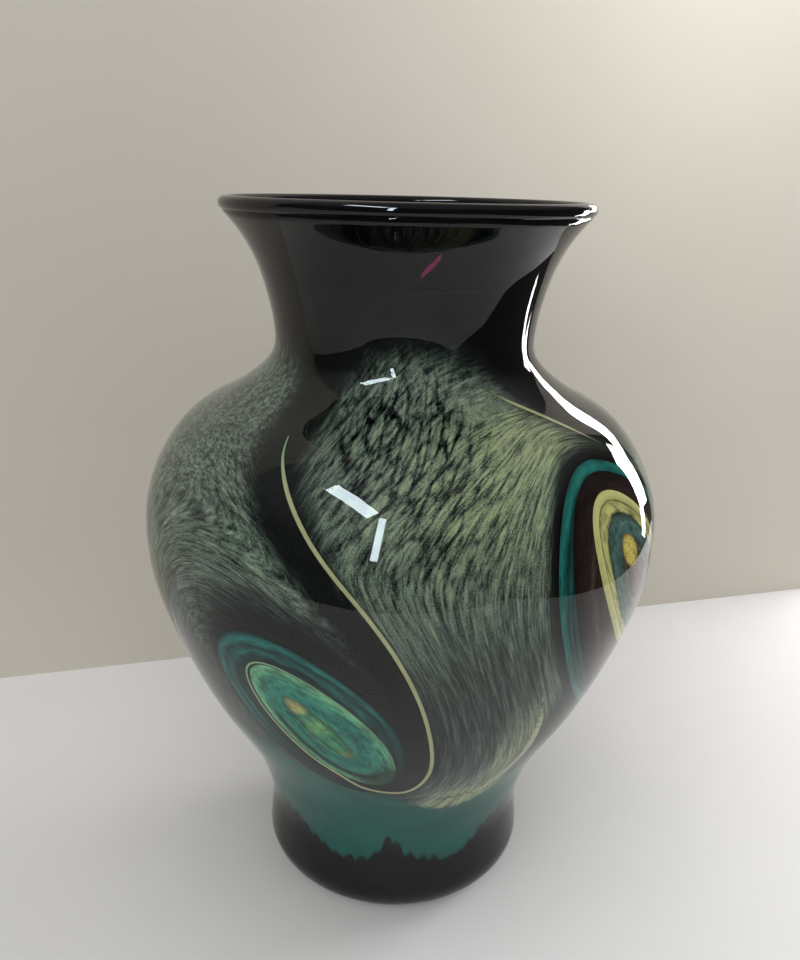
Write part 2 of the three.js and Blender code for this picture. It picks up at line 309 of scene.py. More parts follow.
def distance_to_path(azimuth, height, path):
    """Distance in millimetres from each point to a path on the wall."""
    nearest = np.full(azimuth.shape, np.inf)
    for a, z in path:
        away = (azimuth - a + 180) % 360 - 180
        nearest = np.minimum(nearest, np.hypot(np.radians(away) * radius_at(z), height - z))
    return nearest


def gentle_distance(azimuth, height, path, spacing=2.5, least=2.0):
    """Like the distance to a path of points a spacing apart, but without a crease where the path bends."""
    total = np.zeros(azimuth.shape)
    for a, z in path:
        away = np.radians(azimuth - a) * radius_at(z)
        total += (away**2 + (height - z) ** 2 + least**2) ** -2.0
    return (2 * spacing * total / np.pi) ** (-1 / 3) - least


# ---- material tools --------------------------------------------------------

def new_material(name):
    material = bpy.data.materials.new(name)
    material.use_nodes = True
    tree = material.node_tree
    shader = tree.nodes["Principled BSDF"]
    return material, tree, shader


def node(tree, kind, settings=None, **inputs):
    made = tree.nodes.new(kind)
    for key, value in (settings or {}).items():
        setattr(made, key, value)
    for key, value in inputs.items():
        socket = made.inputs[key.replace("_", " ")] if isinstance(key, str) else made.inputs[key]
        if isinstance(value, bpy.types.NodeSocket):
            tree.links.new(value, socket)
        else:
            socket.default_value = value
    return made


def maths(tree, operation, a, b=0.0, clamp=False):
    made = tree.nodes.new("ShaderNodeMath")
    made.operation = operation
    made.use_clamp = clamp
    for socket, value in zip(made.inputs, (a, b)):
        if isinstance(value, bpy.types.NodeSocket):
            tree.links.new(value, socket)
        else:
            socket.default_value = value
    return made.outputs[0]


def span(tree, value, low, high, to_low=0.0, to_high=1.0):
    made = node(tree, "ShaderNodeMapRange", {"interpolation_type": "SMOOTHSTEP"}, Value=value)
    for key, number in (("From Min", low), ("From Max", high), ("To Min", to_low), ("To Max", to_high)):
        made.inputs[key].default_value = number
    return made.outputs["Result"]


def blend(tree, amount, first, second):
    """Mix two colours."""
    made = tree.nodes.new("ShaderNodeMix")
    made.data_type = "RGBA"
    sockets = made.inputs["Factor"], made.inputs[6], made.inputs[7]
    for socket, value in zip(sockets, (amount, first, second)):
        if isinstance(value, bpy.types.NodeSocket):
            tree.links.new(value, socket)
        elif isinstance(value, tuple):
            socket.default_value = (*value, 1)
        else:
            socket.default_value = value
    return made.outputs[2]


def field(tree, name, output="Fac"):
    return node(tree, "ShaderNodeAttribute", {"attribute_name": name}).outputs[output]


def noise(tree, vector, scale, detail=3.0, roughness=0.55, distortion=0.0):
    made = node(tree, "ShaderNodeTexNoise", Vector=vector, Scale=scale, Detail=detail,
                Roughness=roughness, Distortion=distortion)
    return made.outputs["Fac"]


# ---- materials ---------------------------------------------------------------

INK = (0.0016, 0.0018, 0.0018)


def stretched(tree, vector, along):
    """The flow coordinates drawn out along the vase's height."""
    made = node(tree, "ShaderNodeVectorMath", {"operation": "MULTIPLY"})
    tree.links.new(vector, made.inputs[0])
    made.inputs[1].default_value = (1, 1, along)
    return made.outputs[0]


def weighted(tree, start, *parts):
    """Start plus each noise's swing about its middle times its weight."""
    total = start
    for value, weight in parts:
        swing = maths(tree, "SUBTRACT", value, 0.5)
        total = maths(tree, "ADD", total, maths(tree, "MULTIPLY", swing, weight))
    return total


def faded(tree, amount, start, end):
    """A number that runs from start, where the amount is 0, to end."""
    first = maths(tree, "MULTIPLY", start, maths(tree, "SUBTRACT", 1.0, amount))
    return maths(tree, "ADD", first, maths(tree, "MULTIPLY", end, amount))


def cracks(tree, vector, scale, bend):
    """A net of cracks that wander by bend millimetres: 1 on a crack, 0 inside the cells."""
    drift = node(tree, "ShaderNodeTexNoise", Vector=vector, Scale=scale, Detail=4.0, Roughness=0.6)
    moved = node(tree, "ShaderNodeVectorMath", {"operation": "MULTIPLY_ADD"})
    tree.links.new(drift.outputs["Color"], moved.inputs[0])
    moved.inputs[1].default_value = (bend * MM, bend * MM, 0)
    tree.links.new(vector, moved.inputs[2])
    cells = node(tree, "ShaderNodeTexVoronoi", {"voronoi_dimensions": "2D", "feature": "DISTANCE_TO_EDGE"},
                 Vector=moved.outputs[0], Scale=scale)
    return span(tree, cells.outputs["Distance"], 0.0, 0.2, 1.0, 0.0)


def coloured_ramp(tree, factor, stops):
    made = node(tree, "ShaderNodeValToRGB", Fac=factor)
    elements = made.color_ramp.elements
    elements[0].position, elements[1].position = stops[0][0], stops[-1][0]
    elements[0].color, elements[1].color = (*stops[0][1], 1), (*stops[-1][1], 1)
    for position, colour in stops[1:-1]:
        elements.new(position).color = (*colour, 1)
    return made.outputs["Color"]


def coat_noises(tree, front):
    """Mottles, streaks and fine hairs that follow the glass; the front has its own directions."""
    grain = field(tree, "grain", "Vector")
    slant = field(tree, "slant", "Vector")
    stream = field(tree, "stream", "Vector")
    cells = faded(tree, front, noise(tree, grain, 190.0, 3.0, 0.6, 0.2),
                  noise(tree, slant, 340.0, 4.0, 0.65, 0.4))
    streak = faded(tree, front, noise(tree, stretched(tree, grain, 0.5), 850.0, 3.0, 0.6),
                   noise(tree, stream, 900.0, 4.0, 0.7))
    hair = faded(tree, front, noise(tree, stretched(tree, grain, 0.25), 2300.0, 2.0, 0.6),
                 noise(tree, stream, 1900.0, 2.0, 0.6))
    return cells, streak, hair


def frit_amount(tree, cells, streak, hair):
    """How much frit covers the dark glass at each place: mottles, lines and dust, less the cracks."""
    grain = field(tree, "grain", "Vector")
    slant = field(tree, "slant", "Vector")
    mottled = field(tree, "mottle")
    where = node(tree, "ShaderNodeNewGeometry").outputs["Position"]

    broad = noise(tree, grain, 60.0, 2.0, 0.5)
    dust = noise(tree, where, 2800.0, 2.0, 0.6)
    blotch = maths(tree, "MULTIPLY", weighted(tree, 0.0, (cells, 1.1), (broad, 0.35)), mottled)
    lines = maths(tree, "MULTIPLY", weighted(tree, 0.0, (streak, 1.35), (hair, 0.85)),
                  span(tree, mottled, 0.0, 1.0, 1.25, 1.0))
    speckled = weighted(tree, maths(tree, "ADD", blotch, lines), (dust, 0.8))

    small = maths(tree, "MULTIPLY", cracks(tree, slant, 560.0, 1.4), 0.6)
    both = maths(tree, "ADD", cracks(tree, slant, 300.0, 2.6), small)
    net = maths(tree, "MULTIPLY", both, field(tree, "veins"))
    body = maths(tree, "SUBTRACT", maths(tree, "ADD", speckled, 0.63), maths(tree, "MULTIPLY", net, 0.36))
    return maths(tree, "MULTIPLY", body, field(tree, "frit"), clamp=True)


def coat_material(name):
    """Grey-green frit over black with the teal skirt under it, streaked along the twisted flow."""
    material, tree, shader = new_material(name)
    cells, streak, hair = coat_noises(tree, field(tree, "front"))
    amount = frit_amount(tree, cells, streak, hair)

    frit = coloured_ramp(tree, amount, [
        (0.0, INK), (0.2, (0.009, 0.013, 0.011)), (0.4, (0.047, 0.064, 0.054)),
        (0.6, (0.122, 0.162, 0.128)), (0.8, (0.20, 0.258, 0.19)), (1.0, (0.30, 0.37, 0.25))])
    bright = coloured_ramp(tree, amount, [
        (0.0, INK), (0.2, (0.009, 0.013, 0.010)), (0.4, (0.055, 0.070, 0.048)),
        (0.6, (0.148, 0.182, 0.112)), (0.8, (0.25, 0.30, 0.165)), (1.0, (0.37, 0.42, 0.22))])
    coat = blend(tree, field(tree, "glow"), frit, bright)

    feather = weighted(tree, field(tree, "teal"), (streak, 0.9), (cells, 0.7))
    cloud = noise(tree, field(tree, "grain", "Vector"), 70.0, 4.0, 0.6, 0.8)
    deep = blend(tree, weighted(tree, 0.5, (cloud, 1.6)), (0.006, 0.066, 0.056), (0.015, 0.125, 0.105))
    tree.links.new(blend(tree, span(tree, feather, 0.3, 0.7), coat, deep), shader.inputs["Base Color"])
    return embedded(material)


def embedded(material):
    """Colour that lies inside the clear gather has no gloss of its own."""
    shader = material.node_tree.nodes["Principled BSDF"]
    shader.inputs["Roughness"].default_value = 0.6
    shader.inputs["Specular IOR Level"].default_value = 0.0
    return material


def eye_material(name, stops, reach, fine=1.0):
    """Streaks that run round an oval; colours are given from its middle to its edge."""
    material, tree, shader = new_material(name)
    swirl = field(tree, "swirl", "Vector")
    wave = noise(tree, swirl, 300.0 * fine, 3.0, 0.6, 0.3)
    thin = noise(tree, swirl, 1400.0 * fine, 3.0, 0.6)
    place = weighted(tree, field(tree, "ring"), (wave, reach), (thin, reach / 4))
    shade = span(tree, weighted(tree, thin, (wave, 0.6)), 0.25, 0.75, 0.5, 1.3)
    scaled = node(tree, "ShaderNodeVectorMath", {"operation": "SCALE"})
    tree.links.new(coloured_ramp(tree, place, stops), scaled.inputs[0])
    tree.links.new(shade, scaled.inputs["Scale"])
    strength = field(tree, "strength")
    tree.links.new(blend(tree, strength, INK, scaled.outputs[0]), shader.inputs["Base Color"])
    return embedded(material)


def thread_material(name, light, dark, thinned=INK, ragged=0.0):
    """A pale trailed thread that takes another colour where it was drawn thin, or is broken."""
    material, tree, shader = new_material(name)
    where = node(tree, "ShaderNodeNewGeometry").outputs["Position"]
    tone = blend(tree, noise(tree, where, 420.0, 3.0, 0.6), dark, light)
    strength = weighted(tree, field(tree, "strength"), (noise(tree, where, 800.0, 3.0, 0.7), ragged))
    tree.links.new(blend(tree, strength, thinned, tone), shader.inputs["Base Color"])
    return embedded(material)


def dark_material(name, level):
    """Near-black amethyst glass; level is its own gloss, none where the clear gather covers it."""
    material, tree, shader = new_material(name)
    where = node(tree, "ShaderNodeNewGeometry").outputs["Position"]
    cloud = noise(tree, where, 45.0, 3.0, 0.5)
    tone = blend(tree, span(tree, cloud, 0.3, 0.8), (0.0012, 0.0012, 0.0014), (0.0035, 0.0024, 0.0034))
    tone = blend(tree, fleck(tree, where), tone, (0.26, 0.02, 0.12))
    tree.links.new(tone, shader.inputs["Base Color"])
    gloss = noise(tree, where, 220.0, 2.0, 0.5)
    tree.links.new(span(tree, gloss, 0.2, 0.8, 0.02, 0.06), shader.inputs["Roughness"])
    shader.inputs["Specular IOR Level"].default_value = level
    return material


def fleck(tree, where):
    """A small magenta streak that lies aslant in the front of the neck."""
    place = Vector(on_wall(np.array(7.5), np.array(186.0), np.array(0.0)).tolist())
    away = node(tree, "ShaderNodeVectorMath", {"operation": "SUBTRACT"})
    tree.links.new(where, away.inputs[0])
    away.inputs[1].default_value = place
    ragged = noise(tree, where, 700.0, 3.0, 0.6)
    reach = 0.0
    for axis, half in (((0.66, 0, 0.75), 5.0), ((0.75, 0, -0.66), 0.6), ((0, 1, 0), 6.0)):
        along = node(tree, "ShaderNodeVectorMath", {"operation": "DOT_PRODUCT"})
        tree.links.new(away.outputs[0], along.inputs[0])
        along.inputs[1].default_value = Vector(axis) / (half * MM)
        size = maths(tree, "ABSOLUTE", along.outputs["Value"])
        reach = maths(tree, "ADD", reach, maths(tree, "POWER", size, 2.0))
    return span(tree, weighted(tree, reach, (ragged, 3.6)), 0.2, 1.1, 0.75, 0.0)


def clear_material():
    """Clear fire-polished glass, faintly wavy, that lets light reach the colours under it."""
    material, tree, shader = new_material("clear_glass")
    where = node(tree, "ShaderNodeNewGeometry").outputs["Position"]
    wave = noise(tree, where, 38.0, 2.0, 0.4)
    relief = node(tree, "ShaderNodeBump", Height=wave, Strength=0.10, Distance=0.002)
    tree.links.new(relief.outputs["Normal"], shader.inputs["Normal"])
    polish = noise(tree, where, 160.0, 2.0, 0.5)
    tree.links.new(span(tree, polish, 0.3, 0.8, 0.0, 0.03), shader.inputs["Roughness"])
    shader.inputs["Base Color"].default_value = (0.97, 0.99, 0.98, 1)
    shader.inputs["Transmission Weight"].default_value = 1.0
    shader.inputs["IOR"].default_value = 1.47
    clear = node(tree, "ShaderNodeBsdfTransparent").outputs[0]
    light_path = node(tree, "ShaderNodeLightPath")
    surface = mixed(tree, light_path.outputs["Is Diffuse Ray"], shader.outputs[0], clear)
    surface = mixed(tree, light_path.outputs["Is Shadow Ray"], surface, clear)
    tree.links.new(surface, tree.nodes["Material Output"].inputs["Surface"])
    return material


def mixed(tree, factor, first, second):
    """Mix two shaders."""
    made = node(tree, "ShaderNodeMixShader")
    for socket, value in zip(made.inputs, (factor, first, second)):
        tree.links.new(value, socket)
    return made.outputs[0]


# ---- the dark vessel, the casing and the lip -------------------------------

def wall_thickness(height):
    return WALL_BODY + (WALL_LIP - WALL_BODY) * smooth(height, 166, 190)


def dark_vessel():
    """The near-black gather: cased outside, bare inside and underneath."""
    levels = np.linspace(FOOT_HEIGHT, WALL_TOP, 110)
    under = [(0, PONTIL_DEPTH)]
    for share in np.linspace(0.1, 1, 8):
        under.append((PONTIL_RADIUS * share, PONTIL_DEPTH * (1 - share**2)))
    under.append((RESTING_RADIUS - 1, 0))
    turns = np.linspace(0.5, np.pi / 2, 12, endpoint=False)
    edge = [foot_edge(turn, COAT_DEPTH + 0.1) for turn in turns]
    outer = list(zip(*inside(levels, COAT_DEPTH + 0.1)))
    hollow = levels[levels > BOWL_TOP][::-1]
    inner = list(zip(*inside(hollow, wall_thickness(hollow))))
    rim, top = inner[-1]
    bowl = [(rim * math.sin(t), FLOOR_HEIGHT + (top - FLOOR_HEIGHT) * (1 - math.cos(t)))
            for t in np.linspace(np.pi / 2, 0, 16)[1:-1]]
    profile = under + edge + outer + inner + bowl + [(0, FLOOR_HEIGHT)]
    vessel = lathe("dark_vessel", profile)
    finish_piece(vessel, dark_material("dark_glass_cased", 0.0), "dark_glass", "inner_vessel")
    vessel.data.materials.append(dark_material("dark_glass_bare", 0.5))
    cased = range(len(under), len(under) + len(edge) + len(outer) - 1)
    for index, face in enumerate(vessel.data.polygons):
        face.material_index = 0 if index // COLUMNS in cased else 1
    return vessel


def clear_casing():
    levels = np.linspace(FOOT_HEIGHT, WALL_TOP, 120)
    turns = np.linspace(0.4, np.pi / 2, 14, endpoint=False)
    outer = [foot_edge(turn, 0) for turn in turns] + list(zip(*inside(levels, 0)))
    inner = [foot_edge(turn, CASING_DEPTH) for turn in turns] + list(zip(*inside(levels, CASING_DEPTH)))
    casing = lathe("clear_gather", outer + inner[::-1] + outer[:1])
    finish_piece(casing, clear_material(), "clear_glass", "clear_casing")


def lip_wrap():
    turns = np.linspace(0, 2 * np.pi, 33)
    centre = (LIP_RADIUS - LIP_BEAD, HEIGHT_MM - LIP_BEAD)
    ring = [(centre[0] + LIP_BEAD * math.cos(t), centre[1] + LIP_BEAD * math.sin(t)) for t in turns]
    lip = lathe("lip_bead", ring)
    finish_piece(lip, dark_material("lip_glass", 0.5), "dark_glass", "lip_wrap")


# ---- frit coat and skirt ---------------------------------------------------

# The dark lane from the neck down to the left eye: azimuths and heights
UPPER_LANE = [(-34, 161), (-32, 150), (-28, 140), (-22, 130), (-15, 120), (-8, 110), (-2.5, 100), (1.5, 88)]
DARK_LANE = UPPER_LANE + [(4.5, 72), (4, 60), (-4, 56)]

# The line that the streaks of the front start from: up beside the dark lane, then over to the right
BANK_OVER = [(-13, 122), (-9, 133), (1, 142), (12, 149), (24, 152), (40, 153.5), (60, 153), (85, 150)]
BANK = [(4.5, 56), (4.5, 72), (1.5, 88), (-3, 100), (-9, 112)] + BANK_OVER


def seam(azimuth):
    """Height where the coat meets the skirt."""
    away = (azimuth + 44 + 180) % 360 - 180
    return 50 + 16 * np.exp(-(away / 24) ** 2)


def skirt_edge(azimuth):
    """Height of the skirt's painted lower edge, higher at the sides, with a notch and small lobes."""
    a = np.radians(azimuth)
    rise = 8 * smooth(np.abs(azimuth), 26, 60)
    notch = 6.5 * bump(azimuth, 0, -0.8, 0, 4.5, 1)
    lobes = 0.9 * np.sin(8 * a + 1) + 1.9 * np.abs(np.sin(33 * a)) * (1 + 0.6 * np.cos(7 * a))
    return 18.8 + rise + notch + lobes


def drawn_height():
    """Heights against lengths in the glass before it was drawn out: least on the shoulder."""
    height = np.linspace(0, 200, 401)
    rate = 0.22 + 0.6 * np.exp(-((height - 139) / 17) ** 2)
    return height, np.cumsum(rate) * (height[1] - height[0])


def flow(azimuth, height):
    """Coordinates that follow the glass, so that streaks stand upright and bend round the eyes."""
    back, level = untwist(*untwist(azimuth, height, RIGHT_SWIRL), LEFT_SWIRL)
    level = np.clip(level, 5, 195)
    turn = np.radians(back)
    r = radius_at(level)
    return np.stack([r * np.sin(turn), -r * np.cos(turn), np.interp(level, *drawn_height())], -1) * MM


def slanted(azimuth, height):
    """Flat coordinates drawn out along the mottles: upright, but leaning right on the shoulder."""
    across = np.radians(azimuth) * radius_at(height) - 10.5 * np.tanh((height - 136) / 15)
    return np.stack([across, 0.45 * height, 0 * across], -1) * MM


def streamed(azimuth, height):
    """Coordinates of the front: across from its upper left bank to the right eye, and along."""
    share, _ = oval_place(RIGHT_BAND, azimuth, height)
    to_bank = np.maximum(gentle_distance(azimuth, height, smooth_path(BANK, 80)), 0)
    over = np.array(BANK_OVER)
    beyond = (height > np.interp(azimuth, over[:, 0], over[:, 1])) | (azimuth < over[0, 0])
    to_eye = 30 * np.maximum(share - 1, 0)
    across = np.where(beyond, -to_bank, 40 * to_bank / (to_bank + to_eye + 0.01))
    along = 0.08 * height + 0.07 * azimuth
    return np.stack([across, along, 0 * along], -1) * MM


def in_front(azimuth, height):
    """How far a point belongs to the front, between the dark lane and the right eye."""
    lane = np.array(UPPER_LANE)
    left = np.interp(height, lane[::-1, 1], lane[::-1, 0])
    return smooth(azimuth, left - 3, left + 3) * (1 - smooth(azimuth, 58, 80))


def paint_coat(obj, azimuth, height):
    """Flow coordinates and the amounts of frit, mottling, veins, yellow and teal at each point."""
    a, z = azimuth.ravel(), height.ravel()
    set_field(obj, "grain", flow(a, z))
    set_field(obj, "slant", slanted(a, z))
    set_field(obj, "stream", streamed(a, z))
    set_field(obj, "front", in_front(a, z))

    left, _ = oval_place(LEFT_OPENING, a, z)
    right, _ = oval_place(RIGHT_BAND, a, z)
    lane = distance_to_path(a, z, smooth_path(DARK_LANE, 60)) / (4 + 3.5 * smooth(z, 105, 145))
    top = 167 + 3 * np.sin(np.radians(3 * a)) + 4 * bump(a, 0, -3, 0, 20, 1) - 22 * bump(a, 0, 66, 0, 28, 1)
    cover = (0.94 + 0.2 * bump(a, z, 8, 145, 28, 20) + 0.25 * bump(a, z, 40, 146, 24, 9)
             + 0.15 * bump(a, z, 24, 134, 12, 12) + 0.55 * bump(a, z, 33, 64, 7, 24)
             - 0.11 * bump(a, z, -60, 125, 40, 45) - 0.12 * bump(a, z, 22, 82, 14, 24)
             - 0.33 * (1 - smooth(z, 85, 125)))
    cover *= 0.22 + 0.78 * smooth(lane, 0.4, 1.5)
    cover *= 0.3 + 0.7 * smooth(left, 0.8, 1.25)
    cover *= smooth(right, 1.0, 1.14)
    cover *= 1 - smooth(z, top - 13, top + 3)
    cover *= 1 - 0.85 * smooth(a, 36, 44) * (1 - smooth(z, 70, 125)) * (1 - smooth(a, 110, 150))
    cover *= 1 - 0.75 * smooth(-a, 38, 50) * (1 - smooth(z, 80, 100)) * (1 - smooth(-a, 90, 130))
    cover += 0.9 * bump(a, z, 21, 45, 15, 7)
    cover *= smooth(z, 32, 42)
    set_field(obj, "frit", np.clip(cover, 0, 1.3))

    mottled = smooth(z, 100, 140) * (0.35 + 0.65 * smooth(a, -40, -10))
    mottled *= 1 - 0.85 * smooth(a - 0.5 * (z - 140), 8, 26)
    set_field(obj, "mottle", 0.1 + 0.9 * mottled)
    veins = 1.2 * bump(a, z, -1, 151, 20, 13) + 0.5 * bump(a, z, 8, 132, 20, 14)
    set_field(obj, "veins", np.clip(veins, 0, 1))
    glow = (0.7 * bump(a, z, 16, 137, 16, 12) + 0.9 * bump(a, z, 44, 147, 22, 8) + bump(a, z, 34, 60, 8, 24)
            + 0.15 * bump(a, z, 14, 112, 20, 25) + 0.7 * bump(a, z, 22, 43, 14, 6))
    set_field(obj, "glow", np.clip(glow, 0, 1))

    teal = 0.5 + (z - skirt_edge(a)) / 5
    fade = smooth(z, seam(a) - 12, seam(a) + 8)
    wisps = 1.6 * bump(a, z, 21, 45, 15, 7)
    set_field(obj, "teal", np.clip(teal, -0.5, 1.5) * (1 - fade) - 0.3 * fade - wisps)


def coat_sheet(name, lower, upper, rows, material, slot, node_name):
    """A sleeve of the colour layer between two edges, its rim turned in."""
    columns = 360
    azimuth = np.linspace(-180, 180, columns, endpoint=False)
    share = np.linspace(0, 1, rows)[:, None]
    height = lower(azimuth) + share * (upper(azimuth) - lower(azimuth))
    azimuth = np.broadcast_to(azimuth, height.shape)
    height = np.vstack([height[:1], height, height[-1:]])
    azimuth = np.vstack([azimuth[:1], azimuth, azimuth[-1:]])
    depth = np.full(height.shape, COAT_DEPTH)
    depth[[0, -1]] += 0.6
    sleeve = new_object(name, on_wall(azimuth, height, depth), grid_faces(rows + 2, columns, True))
    paint_coat(sleeve, azimuth, height)
    finish_piece(sleeve, material, slot, node_name)


def colour_coats():
    coat_sheet("frit_coat_skin", seam, lambda a: 180 + 0 * a, 150,
               coat_material("frit_glass"), "frit_glass", "frit_coat")
    coat_sheet("teal_skirt_skin", lambda a: 11 + 0 * a, seam, 60,
               coat_material("teal_glass"), "teal_glass", "teal_skirt")


# ---- eyes --------------------------------------------------------------------

def oval_plate(name, inner, outer, depth, strength, sectors=160, rings=24):
    """A thin plate laid in the wall between two ovals; with no inner oval it is a full pool."""
    angle = np.linspace(0, 2 * np.pi, sectors, endpoint=False)
    share = np.linspace(0, 1, rings)[:, None]
    edge = np.stack(oval_point(outer, angle), -1)
    if inner is None:
        start = np.array([outer[0], outer[1]]) + 0 * edge
        share = 0.02 + 0.98 * share
    else:
        start = np.stack(oval_point(inner, angle), -1)
    place = start + share[:, :, None] * (edge - start)
    place = np.concatenate([place, place[-1:]])
    depths = np.full(place.shape[:2], depth)
    depths[-1] += 0.45
    if inner is not None:
        place = np.concatenate([place[:1], place])
        depths = np.concatenate([depths[:1] + 0.45, depths])
    rows = len(place)
    faces = grid_faces(rows, sectors, True)
    if inner is None:
        faces.append(tuple(range(sectors))[::-1])
    azimuth, height = place[..., 0], place[..., 1]
    plate = new_object(name, on_wall(azimuth, height, depths), faces)
    ring, around = oval_place(outer, azimuth.ravel(), height.ravel())
    set_field(plate, "ring", ring)
    swirl = np.stack([ring * outer[3], 4 * np.cos(around), 4 * np.sin(around)], -1) * MM
    set_field(plate, "swirl", swirl)
    set_field(plate, "strength", strength(ring, around, azimuth.ravel(), height.ravel()))
    return plate


def left_eye():
    def band_strength(ring, around, azimuth, height):
        top = 0.5 + 0.5 * np.cos(around + 0.25)
        return (1 - smooth(ring, 0.93, 1.0)) * (0.12 + 0.88 * smooth(top, 0.1, 0.75))

    band = oval_plate("left_band", LEFT_CORE, LEFT_BAND, EYE_DEPTH + 0.1, band_strength)
    stops = [(0.60, (0.004, 0.010, 0.010)), (0.67, (0.012, 0.06, 0.055)), (0.72, (0.005, 0.02, 0.02)),
             (0.79, (0.020, 0.13, 0.115)), (0.85, (0.007, 0.045, 0.045)), (0.91, (0.022, 0.155, 0.14)),
             (1.0, (0.012, 0.085, 0.08))]
    finish_piece(band, eye_material("left_band_glass", stops, 0.16), "teal_glass", "left_eye_band")

    def core_strength(ring, around, azimuth, height):
        crescent = smooth(np.cos(around - 2.1), 0.1, 0.6) * bump(0, ring, 0, 0.80, 1, 0.065)
        tail = smooth(-np.cos(around), 0.6, 0.96) * smooth(ring, 0.62, 0.92)
        return (1 - crescent) * (1 - 0.8 * tail)

    core = oval_plate("left_core", None, LEFT_CORE, EYE_DEPTH, core_strength)
    stops = [(0.0, (0.05, 0.29, 0.19)), (0.22, (0.014, 0.15, 0.13)), (0.36, (0.05, 0.26, 0.17)),
             (0.5, (0.012, 0.13, 0.115)), (0.66, (0.03, 0.21, 0.155)), (0.8, (0.045, 0.235, 0.165)),
             (0.9, (0.10, 0.33, 0.20)), (1.0, (0.17, 0.38, 0.22))]
    finish_piece(core, eye_material("left_core_glass", stops, 0.35), "green_glass", "left_eye_core")

    heart = oval_plate("left_heart", None, LEFT_HEART, EYE_DEPTH - 0.12,
                       lambda ring, *_: 1 - 0.6 * smooth(ring, 0.5, 1), 64, 10)
    set_field(heart, "ring", from_spot(heart, -21.5, 84.2, 24))
    stops = [(0.0, (0.62, 0.60, 0.22)), (0.08, (0.50, 0.52, 0.22)), (0.17, (0.04, 0.21, 0.14)),
             (0.36, (0.16, 0.38, 0.15)), (0.55, (0.04, 0.22, 0.14)), (0.75, (0.09, 0.32, 0.16)),
             (0.9, (0.42, 0.52, 0.24)), (1.0, (0.08, 0.30, 0.18))]
    finish_piece(heart, eye_material("left_heart_glass", stops, 0.16), "straw_glass", "left_eye_heart")


def from_spot(obj, azimuth, height, reach):
    """Each point's distance from a spot on the wall, as a share of a reach in millimetres."""
    spot = on_wall(np.array(azimuth), np.array(height), np.array(EYE_DEPTH))
    points = np.array([v.co for v in obj.data.vertices])
    return np.linalg.norm(points - spot, axis=1) / (reach * MM)


def right_eye():
    def whole(ring, *_):
        return np.ones_like(ring)

    band = oval_plate("right_band", RIGHT_FIELD, RIGHT_BAND, EYE_DEPTH + 0.1, whole)
    stops = [(0.82, (0.006, 0.012, 0.012)), (0.85, (0.008, 0.07, 0.07)), (0.87, (0.005, 0.025, 0.025)),
             (0.90, (0.010, 0.09, 0.08)), (0.92, (0.005, 0.035, 0.035)), (0.96, (0.016, 0.17, 0.145)),
             (1.0, (0.012, 0.12, 0.105))]
    finish_piece(band, eye_material("right_band_glass", stops, 0.05), "teal_glass", "right_eye_band")

    brown = oval_plate("right_field", RIGHT_CORE, RIGHT_FIELD, EYE_DEPTH + 0.1, whole)
    stops = [(0.5, (0.045, 0.028, 0.020)), (0.72, (0.034, 0.019, 0.014)), (0.77, (0.075, 0.055, 0.043)),
             (0.82, (0.032, 0.018, 0.014)), (1.0, (0.007, 0.006, 0.006))]
    finish_piece(brown, eye_material("right_field_glass", stops, 0.15), "brown_glass", "right_eye_field")

    core = oval_plate("right_core", None, RIGHT_CORE, EYE_DEPTH, whole)
    stops = [(0.0, (0.12, 0.075, 0.04)), (0.34, (0.06, 0.05, 0.035)), (0.42, (0.13, 0.13, 0.10)),
             (0.5, (0.05, 0.06, 0.05)), (0.62, (0.07, 0.14, 0.125)), (0.76, (0.09, 0.17, 0.15)),
             (0.83, (0.05, 0.07, 0.05)), (0.88, (0.44, 0.44, 0.18)), (1.0, (0.40, 0.40, 0.16))]
    finish_piece(core, eye_material("right_core_glass", stops, 0.2), "sage_glass", "right_eye_core")

    yolk = oval_plate("right_yolk", None, RIGHT_YOLK, EYE_DEPTH - 0.12, whole, 64, 10)
    stops = [(0.0, (0.66, 0.57, 0.15)), (0.75, (0.62, 0.52, 0.14)), (1.0, (0.20, 0.12, 0.06))]
    finish_piece(yolk, eye_material("right_yolk_glass", stops, 0.25), "yellow_glass", "right_eye_yolk")


# ---- threads -----------------------------------------------------------------

def thread(name, points, width, material, slot, node_name, count=220, fade_in=0.12, fade_out=0.08):
    """A trailed thread of oval section along a path on the wall, thin at its ends."""
    path = smooth_path(points, count)
    run = np.gradient(path, axis=0)
    r = radius_at(path[:, 1])
    side = np.stack([-run[:, 1], np.radians(run[:, 0]) * r], -1)
    side /= np.linalg.norm(side, axis=1)[:, None]
    share = np.linspace(0, 1, count)
    taper = np.minimum(smooth(share, -0.02, fade_in), 1 - smooth(share, 1 - fade_out, 1.02))
    section = np.linspace(0, 2 * np.pi, 10, endpoint=False)
    half = (0.12 + 0.88 * taper)[:, None] * width / 2
    across, lift = half * np.cos(section), 0.5 * half * np.sin(section)
    azimuth = path[:, :1] + np.degrees(across * side[:, :1] / r[:, None])
    height = path[:, 1:] + across * side[:, 1:]
    points = on_wall(azimuth, height, THREAD_DEPTH - lift)
    last = (count - 1) * len(section)
    faces = grid_faces(count, len(section), True)
    faces.append(tuple(range(len(section)))[::-1])
    faces.append(tuple(range(last, last + len(section))))
    line = new_object(name, points, faces)
    set_field(line, "strength", np.repeat(0.15 + 0.85 * taper, len(section)))
    finish_piece(line, material, slot, node_name)


def oval_arc(shape, start, end, count):
    return [oval_point(shape, math.radians(angle)) for angle in np.linspace(start, end, count + 1)]


